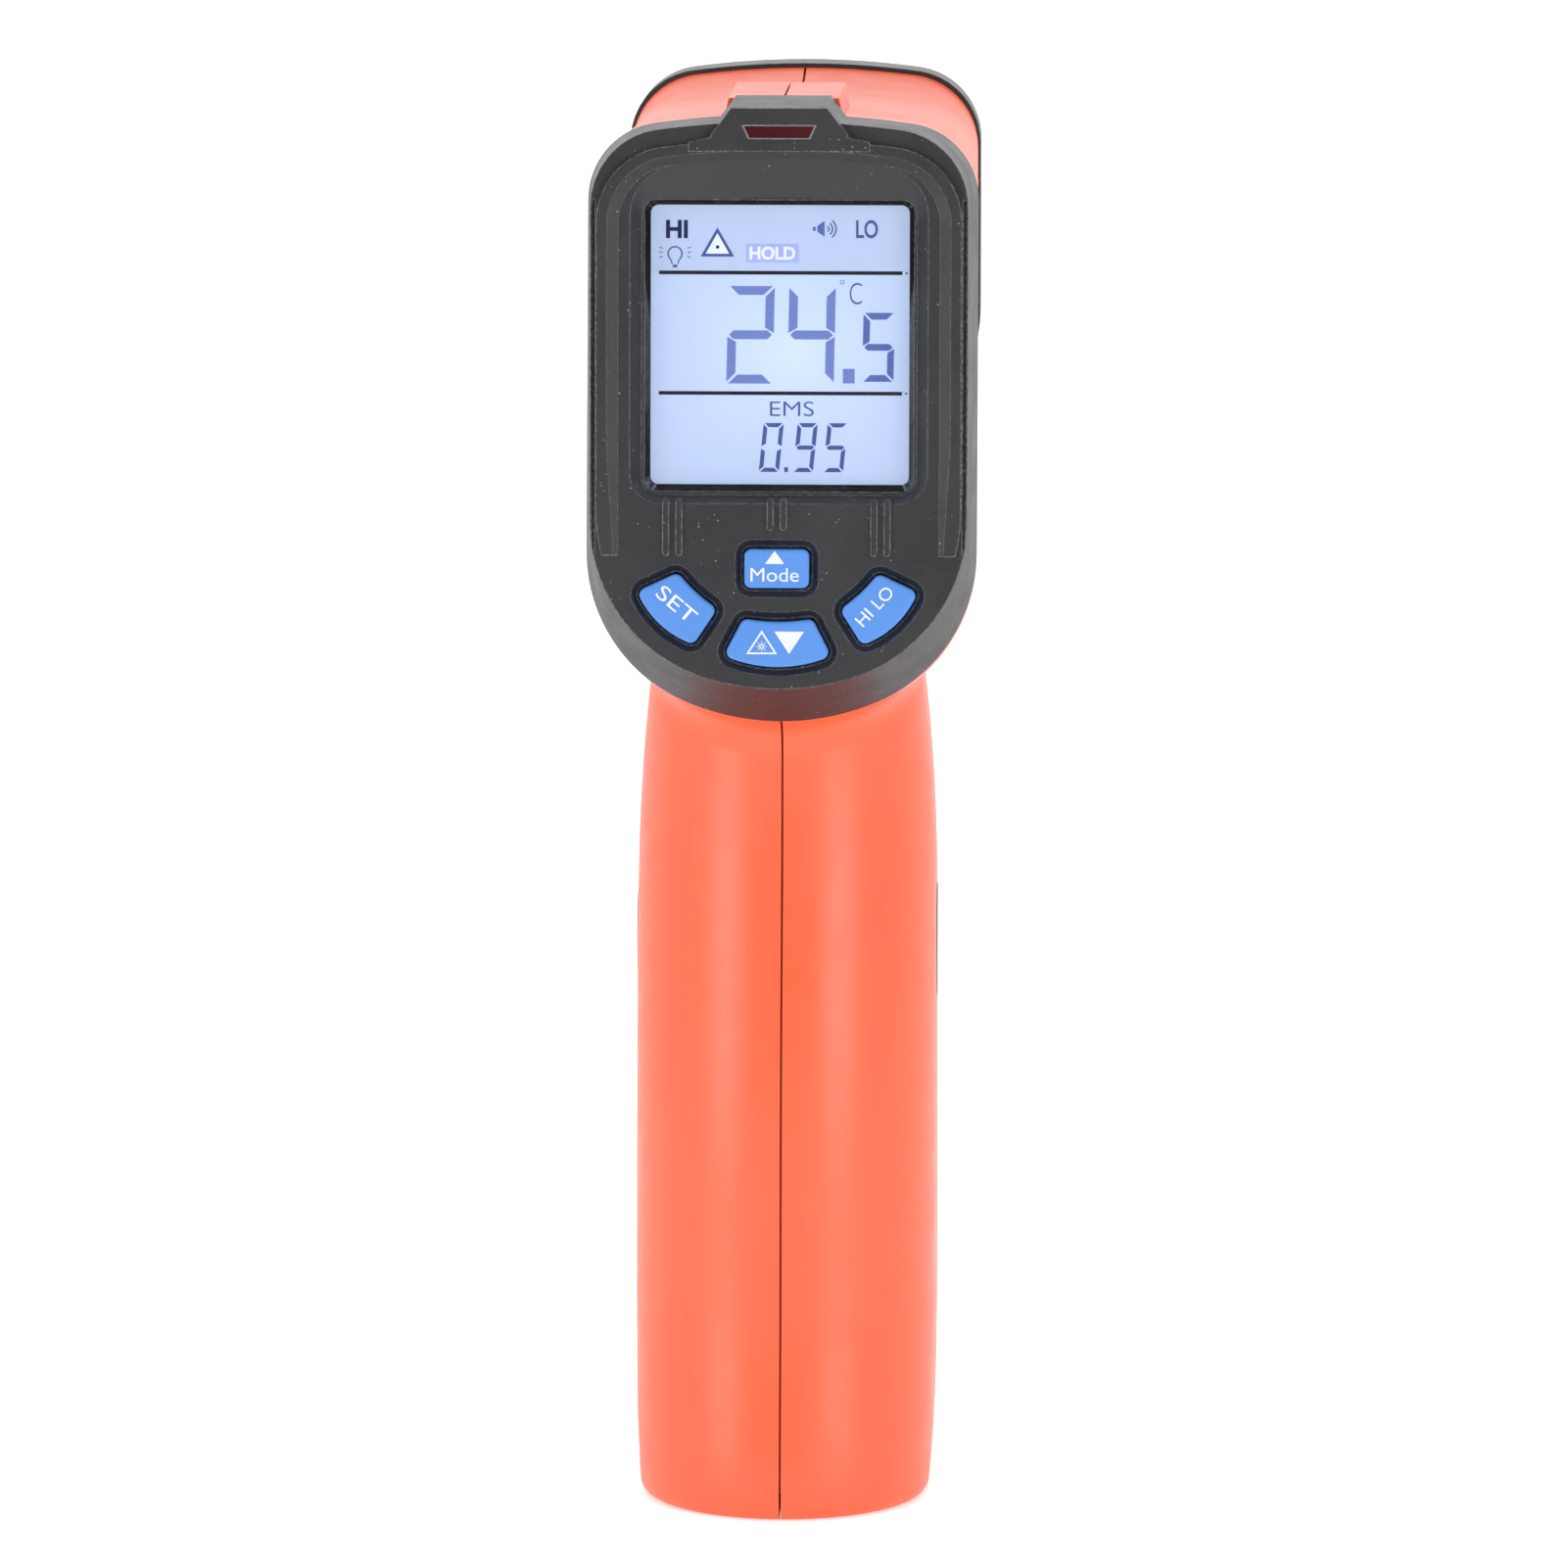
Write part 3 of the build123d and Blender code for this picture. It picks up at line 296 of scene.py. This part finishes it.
def battery_jacket():
    """A plain printed jacket: black, with a copper-coloured band round its top third."""
    material, tree, shader = blank("battery_jacket")
    low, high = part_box("battery")
    coords = tree.nodes.new("ShaderNodeTexCoord")
    split = tree.nodes.new("ShaderNodeSeparateXYZ")
    tree.links.new(coords.outputs["Object"], split.inputs["Vector"])
    edge = high.z - (high.z - low.z) / 3
    band = spread(tree, split.outputs["Z"], 0.0, 1.0, edge - 0.05 * MM, edge + 0.05 * MM)
    scuffs = noise(tree, 900.0, 5.0, 0.7)
    dark = mixed(tree, scuffs, (0.015, 0.015, 0.017), (0.03, 0.03, 0.033))
    tree.links.new(mixed(tree, band, dark, (0.62, 0.26, 0.10)), shader.inputs["Base Color"])
    tree.links.new(spread(tree, band, 0.0, 1.0, 0.0, 1.0), shader.inputs["Metallic"])
    tree.links.new(spread(tree, scuffs, 0.25, 0.4), shader.inputs["Roughness"])
    bumped(tree, shader, [(scuffs, 4e-6)], 0.0003)
    return material


ORANGE = (0.87, 0.112, 0.041)
GRAPHITE = (0.0145, 0.0148, 0.0175)

orange = plastic("orange_abs", ORANGE, 0.38, grain=4200.0, depth=5e-6, vary=0.015)
# The edge_highlight colours below, for the bezels and the keys, are painted highlights along their sharp
# edges.
graphite = plastic("graphite_abs", GRAPHITE, 0.46, grain=3600.0, depth=3.4e-5, vary=0.22, dust=0.13,
                   edge_highlight=(0.27, 0.27, 0.28))
nose_black = plastic("nose_abs", (0.018, 0.018, 0.019), 0.42, grain=3600.0, depth=2.4e-5, vary=0.2, dust=0.1,
                     edge_highlight=(0.20, 0.20, 0.205))
black = plastic("black_nylon", (0.014, 0.014, 0.015), 0.5, grain=3000.0, depth=8e-6, vary=0.2)
natural = plastic("natural_plastic", (0.60, 0.59, 0.54), 0.5, vary=0.06)
white = plastic("white_plastic", (0.78, 0.78, 0.76), 0.45, vary=0.04)
key_blue = plastic("blue_silicone", (0.070, 0.222, 0.60), 0.55, grain=5200.0, depth=5e-6, vary=0.03,
                   edge_highlight=(0.20, 0.40, 0.86))
foam = plastic("black_foam", (0.012, 0.012, 0.012), 0.9, grain=1500.0, depth=1.2e-4, vary=0.3, edge=0.0)
red_rubber = plastic("red_insulation", (0.42, 0.015, 0.012), 0.45, vary=0.05, edge=0.0)
black_rubber = plastic("black_insulation", (0.012, 0.012, 0.012), 0.5, vary=0.1, edge=0.0)
elastomer = plastic("contact_rubber", (0.55, 0.33, 0.42), 0.6, vary=0.1)
gloss_black = plastic("gloss_black", (0.008, 0.008, 0.009), 0.16, grain=900.0, depth=2e-6, vary=0.1)
ribbon_grey = plastic("flat_cable", (0.42, 0.41, 0.38), 0.4, vary=0.05, edge=0.0)
red_window = plastic("red_window", (0.050, 0.006, 0.010), 0.16, grain=700.0, depth=2e-6, vary=0.2)
steel = metal("zinc_steel", (0.60, 0.60, 0.61), 0.32)
nickel = metal("nickel_plate", (0.72, 0.70, 0.66), 0.22)
brass = metal("turned_brass", (0.72, 0.50, 0.20), 0.24, (1, 12, 1))
clear = glass("clear_acrylic", (0.985, 0.99, 1.0), 0.0)
lamp_red = glass("red_lamp", (0.75, 0.06, 0.05), 0.08)
lens_tint = metal("coated_lens", (0.42, 0.36, 0.33), 0.10, grain=600.0)
lcd = lcd_glass()
board_green = circuit_board()
jacket = battery_jacket()
white_ink = ink("white_ink", (0.66, 0.69, 0.76), 0.45)
segment_blue = ink("segment_blue", (0.15, 0.21, 0.52), 0.3, 0.5)
segment_mid = ink("segment_mid", (0.09, 0.135, 0.40), 0.3, 0.5)
segment_slate = ink("segment_slate", (0.055, 0.088, 0.29), 0.3, 0.5)
segment_navy = ink("segment_navy", (0.012, 0.014, 0.13), 0.3)
# Light grey for the painted highlight round the status window's edge.
painted_window_glint = ink("painted_window_glint", (0.22, 0.20, 0.20), 0.4)
rule_black = ink("rule_black", (0.004, 0.004, 0.012), 0.3)
segment_pale = ink("segment_pale", (0.36, 0.42, 0.80), 0.3, 0.5)
lcd_white = ink("lcd_white", (0.80, 0.86, 0.95), 0.3, 0.5)

NODE_MATERIALS = {
    "housing_left": orange,
    "housing_right": orange,
    "battery_door": orange,
    "housing_screws": steel,
    "rear_bezel": graphite,
    "status_window": red_window,
    "status_led": lamp_red,
    "display_window": clear,
    "display_gasket": foam,
    "lcd_panel": lcd,
    "lcd_backlight": white,
    "zebra_strip": elastomer,
    "lcd_frame": white,
    "main_board": board_green,
    "board_components": black,
    "board_screws": steel,
    "buzzer": black,
    "tact_switches": black,
    "keypad_carrier": natural,
    "nose_bezel": nose_black,
    "lens_barrel": black,
    "ir_lens": lens_tint,
    "lens_retainer": black,
    "thermopile_sensor": nickel,
    "sensor_board": board_green,
    "sensor_ribbon": ribbon_grey,
    "laser_module": brass,
    "laser_window": clear,
    "laser_clip": black,
    "laser_leads": red_rubber,
    "trigger": graphite,
    "trigger_pin": steel,
    "trigger_spring": steel,
    "switch_body": black,
    "switch_plunger": red_rubber,
    "switch_board": board_green,
    "battery": jacket,
    "battery_terminals": nickel,
    "battery_snap": black_rubber,
    "battery_lead_red": red_rubber,
    "battery_lead_black": black_rubber,
    "battery_pad": foam,
    "grip_badge_left": gloss_black,
    "grip_badge_right": gloss_black,
    "set_key": key_blue,
    "mode_key": key_blue,
    "laser_key": key_blue,
    "hilo_key": key_blue,
}
for node, material in NODE_MATERIALS.items():
    slots = nodes[node].data.materials
    slots.clear()
    slots.append(material)


# Flat artwork on the face --------------------------------------------------------------------


def finished(name, mesh, material, body):
    """Puts a mesh in the scene as a piece that rides on a body."""
    mesh.materials.clear()
    mesh.materials.append(material)
    piece = bpy.data.objects.new(name, mesh)
    bpy.context.scene.collection.objects.link(piece)
    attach(piece, body)
    return piece


def prisms(name, outlines, place, material, body, thick=0.03):
    """Thin closed solids, one on each outline of (u, v) points, standing on the place's plane."""
    work = bmesh.new()
    for outline in outlines:
        rings = []
        for height in (0.0, thick):
            rings.append([work.verts.new((u, v, height)) for u, v in outline])
        low, high = rings
        work.faces.new(list(reversed(low)))
        work.faces.new(high)
        for index in range(len(outline)):
            after = (index + 1) % len(outline)
            work.faces.new((low[index], low[after], high[after], high[index]))
    bmesh.ops.recalc_face_normals(work, faces=work.faces)
    mesh = bpy.data.meshes.new(name)
    work.to_mesh(mesh)
    work.free()
    mesh.transform(place)
    return finished(name, mesh, material, body)


def lettering(name, text, size, place, material, body, weight=0.0, thick=0.03):
    """Raised lettering fitted to size = (width, height) about the place's centre."""
    curve = bpy.data.curves.new(name, "FONT")
    curve.body = text
    curve.resolution_u = 6
    curve.offset = weight
    curve.extrude = 0.5
    source = bpy.data.objects.new(name, curve)
    bpy.context.scene.collection.objects.link(source)
    bpy.context.view_layer.update()
    mesh = bpy.data.meshes.new_from_object(source)
    bpy.data.objects.remove(source)
    work = bmesh.new()
    work.from_mesh(mesh)
    bmesh.ops.remove_doubles(work, verts=work.verts, dist=1e-5)
    low = [min(v.co[axis] for v in work.verts) for axis in (0, 1)]
    high = [max(v.co[axis] for v in work.verts) for axis in (0, 1)]
    for vert in work.verts:
        for axis in (0, 1):
            share = (vert.co[axis] - low[axis]) / (high[axis] - low[axis])
            vert.co[axis] = (share - 0.5) * size[axis]
        vert.co[2] = thick if vert.co[2] > 0 else 0.0
    work.to_mesh(mesh)
    work.free()
    mesh.transform(place)
    return finished(name, mesh, material, body)


def oblong(low_u, high_u, low_v, high_v):
    return [(low_u, low_v), (high_u, low_v), (high_u, high_v), (low_u, high_v)]


def ring_outlines(u, v, outer, inner, start=0.0, end=360.0, steps=24):
    """A ring or an arc as short closed outlines."""
    shapes = []
    for index in range(steps):
        angles = [math.radians(start + (end - start) * (index + k) / steps) for k in (0, 1)]
        corners = []
        for angle, radius in ((angles[0], inner), (angles[0], outer), (angles[1], outer), (angles[1], inner)):
            corners.append((u + radius * math.cos(angle), v + radius * math.sin(angle)))
        shapes.append(corners)
    return shapes


def dot_outline(u, v, radius, steps=20):
    turn = 2 * math.pi / steps
    return [(u + radius * math.cos(k * turn), v + radius * math.sin(k * turn)) for k in range(steps)]


def triangle_frame(corners, width):
    """The three sides of a triangle's outline, width wide inside its corners, and the field inside them."""
    inner = []
    for index, corner in enumerate(corners):
        before = (Vector(corners[index - 1]) - Vector(corner)).normalized()
        after = (Vector(corners[(index + 1) % 3]) - Vector(corner)).normalized()
        half = before.angle(after) / 2
        inner.append(Vector(corner) + (before + after).normalized() * width / math.sin(half))
    sides = []
    for index in range(3):
        after = (index + 1) % 3
        sides.append([corners[index], corners[after], tuple(inner[after]), tuple(inner[index])])
    return sides, [tuple(point) for point in inner]


SEGMENTS = {"0": "abcdef", "2": "abdeg", "4": "bcfg", "5": "acdfg", "9": "abcdfg"}


def digit(figure, low_u, low_v, wide, tall, stroke, lean=0.0, gap=0.2):
    """Outlines of the lit segments of one seven-segment digit."""
    half, t, g = tall / 2, stroke, gap
    shapes = {
        "a": [(g, tall), (wide - g, tall), (wide - t - g, tall - t), (t + g, tall - t)],
        "d": [(g, 0), (t + g, t), (wide - t - g, t), (wide - g, 0)],
        "g": [(g, half), (t / 2 + g, half + t / 2), (wide - t / 2 - g, half + t / 2), (wide - g, half),
              (wide - t / 2 - g, half - t / 2), (t / 2 + g, half - t / 2)],
        "f": [(0, half + g), (0, tall - g), (t, tall - t - g), (t, half + t / 2 + g * 1.5)],
        "e": [(0, half - g), (t, half - t / 2 - g * 1.5), (t, t + g), (0, g)],
        "b": [(wide, half + g), (wide - t, half + t / 2 + g * 1.5), (wide - t, tall - t - g),
              (wide, tall - g)],
        "c": [(wide, half - g), (wide, g), (wide - t, t + g), (wide - t, half - t / 2 - g * 1.5)],
    }
    outlines = []
    for letter in SEGMENTS[figure]:
        outlines.append([(low_u + u + v * lean, low_v + v) for u, v in shapes[letter]])
    return outlines


lcd_place = face_matrix(0, 0, LCD_DEPTH)

prisms("lcd_digit_2", digit("2", -5.9, 33.35, 5.1, 10.7, 0.98, 0.02), lcd_place, segment_blue, "root")
prisms("lcd_digit_4", digit("4", 0.8, 33.35, 5.1, 10.7, 0.98, 0.02), lcd_place, segment_blue, "root")
prisms("lcd_point", [oblong(6.9, 8.2, 33.4, 35.0)], lcd_place, segment_blue, "root")
prisms("lcd_digit_5", digit("5", 9.0, 33.6, 3.45, 7.55, 0.74, 0.02, 0.16), lcd_place, segment_mid, "root")

SMALL_WIDE, SMALL_TALL, SMALL_LEAN = 2.22, 5.37, 0.1
for index, (figure, low_u) in enumerate((("0", -2.3), ("9", 1.43), ("5", 4.74))):
    shapes = digit(figure, low_u, 23.67, SMALL_WIDE, SMALL_TALL, 0.46, SMALL_LEAN, 0.13)
    prisms(f"lcd_small_{index}", shapes, lcd_place, segment_slate, "root")
prisms("lcd_small_point", [oblong(0.5, 0.92, 23.67, 24.2)], lcd_place, segment_slate, "root")

for index, middle_v in enumerate((45.5, 32.3)):
    rules = [oblong(-13.3, 13.4, middle_v - 0.2, middle_v + 0.2)]
    rules.append(oblong(13.75, 13.95, middle_v - 0.1, middle_v + 0.1))
    prisms(f"lcd_rule_{index}", rules, lcd_place, rule_black, "root")

LCD_WORDS = (  # name, text, centre, width and height, weight, material
    ("lcd_hi", "HI", (-11.35, 50.25), (2.4, 2.0), 0.035, segment_navy),
    ("lcd_lo", "LO", (9.5, 50.3), (2.4, 2.0), 0.02, segment_slate),
    ("lcd_ems", "EMS", (1.32, 30.6), (4.8, 1.62), -0.008, segment_slate),
    ("lcd_c", "C", (8.3, 43.25), (1.35, 2.35), -0.015, segment_slate),
)
for name, text, (u, v), size, weight, material in LCD_WORDS:
    lettering(name, text, size, face_matrix(u, v, LCD_DEPTH), material, "root", weight)

prisms("lcd_hold_box", [oblong(-3.76, 2.04, 46.61, 48.67)], lcd_place, segment_pale, "root")
hold_place = face_matrix(-0.86, 47.64, LCD_DEPTH + 0.03)
lettering("lcd_hold", "HOLD", (5.0, 1.45), hold_place, lcd_white, "root", 0.03)

FIELD_THICK = 0.02
warning, warning_inside = triangle_frame([(-8.75, 47.25), (-5.05, 47.25), (-6.9, 50.45)], 0.32)
prisms("lcd_laser_frame", warning, lcd_place, segment_slate, "root")
prisms("lcd_laser_field", [warning_inside], lcd_place, lcd_white, "root", FIELD_THICK)
dot_place = face_matrix(0, 0, LCD_DEPTH + FIELD_THICK)
prisms("lcd_laser_dot", [dot_outline(-6.88, 48.3, 0.2)], dot_place, segment_navy, "root")

bulb = ring_outlines(-11.55, 47.55, 0.85, 0.68, -50, 230)
bulb += [[(-12.1, 46.9), (-11.95, 46.95), (-11.78, 46.45), (-11.9, 46.4)]]
bulb += [[(-11.0, 46.9), (-11.2, 46.4), (-11.32, 46.45), (-11.15, 46.95)]]
bulb += [oblong(-11.8, -11.3, 46.05, 46.35)]
prisms("lcd_bulb", bulb, lcd_place, segment_slate, "root")
rays = []
for side in (-1, 1):
    for rise in (-0.5, 0.0, 0.5):
        near, far = -11.55 + side * 1.35, -11.55 + side * 1.75
        low, high = 47.7 + rise * 0.9, 47.7 + rise * 1.15
        rays.append([(near, low - 0.06), (far, high - 0.06), (far, high + 0.06), (near, low + 0.06)])
prisms("lcd_bulb_rays", rays, lcd_place, segment_mid, "root")

speaker = [[(4.05, 50.0), (4.85, 49.45), (4.85, 51.2), (4.05, 50.65)], oblong(3.55, 3.9, 50.1, 50.55)]
prisms("lcd_speaker", speaker, lcd_place, segment_mid, "root")
waves = []
for radius in (0.45, 0.85, 1.25):
    waves += ring_outlines(4.95, 50.32, radius, radius - 0.16, -52, 52, 10)
prisms("lcd_speaker_waves", waves, lcd_place, segment_slate, "root")
prisms("lcd_degree", ring_outlines(6.8, 44.5, 0.25, 0.15), lcd_place, segment_blue, "root")

WINDOW_FRONT = 0.85  # the status window's front stands this far proud of the face
# A light grey ring painted round the status window's edge stands for the highlight that edge catches. The
# window's own outline, and the same outline drawn in by the ring's width.
window_edge = [(-3.4, 60.1), (3.4, 60.1), (4.05, 61.6), (-4.05, 61.6)]
window_inner = [(-3.25, 60.21), (3.25, 60.21), (3.84, 61.5), (-3.84, 61.5)]
glint_quads = []
for index in range(4):
    after = (index + 1) % 4
    glint_quads.append([window_edge[index], window_edge[after], window_inner[after], window_inner[index]])
prisms("window_glint_ring", glint_quads, face_matrix(0, 0, WINDOW_FRONT), painted_window_glint, "root")

# Prints on the keys --------------------------------------------------------------------------

PRINTS = (  # name, text, centre, turn, width and height, body
    ("print_set", "SET", (-11.04, 9.27), -40.0, (5.0, 1.62), "set_button"),
    ("print_hilo", "HI LO", (10.61, 9.19), 47.5, (5.05, 1.4), "hilo_button"),
    ("print_mode", "Mode", (-0.33, 12.57), 0.0, (5.3, 1.5), "mode_button"),
)
for name, text, (u, v), turn, size, body in PRINTS:
    lettering(name, text, size, face_matrix(u, v, KEY_TOP, turn), white_ink, body)

key_place = face_matrix(0, 0, KEY_TOP)
prisms("print_up", [[(-1.38, 13.77), (0.7, 13.77), (-0.34, 15.2)]], key_place, white_ink, "mode_button")
prisms("print_down", [[(1.28, 3.9), (2.91, 6.37), (-0.35, 6.37)]], key_place, white_ink, "laser_button")
mark = triangle_frame([(-3.43, 3.88), (-0.03, 3.88), (-1.73, 6.5)], 0.19)[0]
for index in range(8):
    angle = math.radians(45 * index)
    across = (math.cos(angle), math.sin(angle))
    side = (-across[1] * 0.07, across[0] * 0.07)
    near, far = 0.18, 0.72
    mark.append([
        (-1.73 + across[0] * near - side[0], 4.72 + across[1] * near - side[1]),
        (-1.73 + across[0] * far, 4.72 + across[1] * far),
        (-1.73 + across[0] * near + side[0], 4.72 + across[1] * near + side[1]),
    ])
mark += ring_outlines(-1.73, 4.72, 0.26, 0.12)
prisms("print_laser", mark, key_place, white_ink, "laser_button")

# Trigger spring ------------------------------------------------------------------------------

coil = finished("trigger_coil", nodes["trigger_spring"].data.copy(), steel, "root")
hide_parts("trigger_spring")
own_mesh(coil)

# Stage ---------------------------------------------------------------------------------------


def floor():
    """A wide pale floor that fills the view."""
    mesh = bpy.data.meshes.new("floor")
    reach = 12.0
    corners = [(-reach, -reach, 0), (reach, -reach, 0), (reach, reach, 0), (-reach, reach, 0)]
    mesh.from_pydata(corners, [], [(0, 1, 2, 3)])
    material, tree, shader = blank("floor_white")
    paper = noise(tree, 40.0, 3.0)
    tree.links.new(mixed(tree, paper, (0.95, 0.95, 0.95), (0.97, 0.97, 0.97)), shader.inputs["Base Color"])
    shader.inputs["Roughness"].default_value = 0.9
    shader.inputs["Specular IOR Level"].default_value = 0.2
    shader.inputs["Emission Color"].default_value = (1.0, 1.0, 1.0, 1.0)
    shader.inputs["Emission Strength"].default_value = 0.4
    mesh.materials.append(material)
    piece = bpy.data.objects.new("floor", mesh)
    bpy.context.scene.collection.objects.link(piece)


def softbox(name, place, target, size, power):
    """A rectangular area light that looks at target."""
    light = bpy.data.lights.new(name, "AREA")
    light.shape = "RECTANGLE"
    light.size, light.size_y = size
    light.energy = power
    lamp = bpy.data.objects.new(name, light)
    lamp.location = place
    lamp.rotation_euler = (Vector(target) - Vector(place)).to_track_quat("-Z", "Y").to_euler()
    bpy.context.scene.collection.objects.link(lamp)


floor()
# The surroundings are dim on the operator's side and brighten towards the nose's side.
world = bpy.data.worlds.new("studio")
world.use_nodes = True
background = next(n for n in world.node_tree.nodes if n.type == "BACKGROUND")
sky = world.node_tree
direction = sky.nodes.new("ShaderNodeTexCoord")
across = sky.nodes.new("ShaderNodeSeparateXYZ")
sky.links.new(direction.outputs["Generated"], across.inputs["Vector"])
dimmed = spread(sky, across.outputs["Y"], 0.07, 1.0, -0.85, 0.85)
sky.links.new(mixed(sky, dimmed, (0.0, 0.0, 0.0), (1.0, 1.0, 1.0)), background.inputs["Color"])
background.inputs["Strength"].default_value = 1.5
bpy.context.scene.world = world

GRIP = (0.0, -0.02, 0.06)
STRIP_REACH, STRIP_HEIGHT = 0.9, 0.24
for name, side in (("strip_left", -46.0), ("strip_right", 42.0)):
    angle = math.radians(side)
    place = (STRIP_REACH * math.sin(angle), -STRIP_REACH * math.cos(angle), STRIP_HEIGHT)
    softbox(name, place, GRIP, (0.24, 0.46), 3.0)
softbox("overhead", (0.0, -0.5, 1.2), (0, 0, 0.08), (1.2, 1.2), 3.0)

# Camera --------------------------------------------------------------------------------------

TARGET = Vector((0.7, -28.0, 84.4)) * MM
AZIMUTH, ELEVATION = math.radians(2.1), math.radians(8.8)
DISTANCE = 1.011
back = Vector((
    math.sin(AZIMUTH) * math.cos(ELEVATION),
    -math.cos(AZIMUTH) * math.cos(ELEVATION),
    math.sin(ELEVATION),
))
camera = bpy.data.objects.new("camera", bpy.data.cameras.new("camera"))
camera.data.sensor_width = 36.0
camera.data.lens = 211.6
camera.location = TARGET + back * DISTANCE
camera.rotation_euler = (-back).to_track_quat("-Z", "Y").to_euler()
bpy.context.scene.collection.objects.link(camera)
bpy.context.scene.camera = camera
bpy.context.scene.view_settings.view_transform = "Standard"
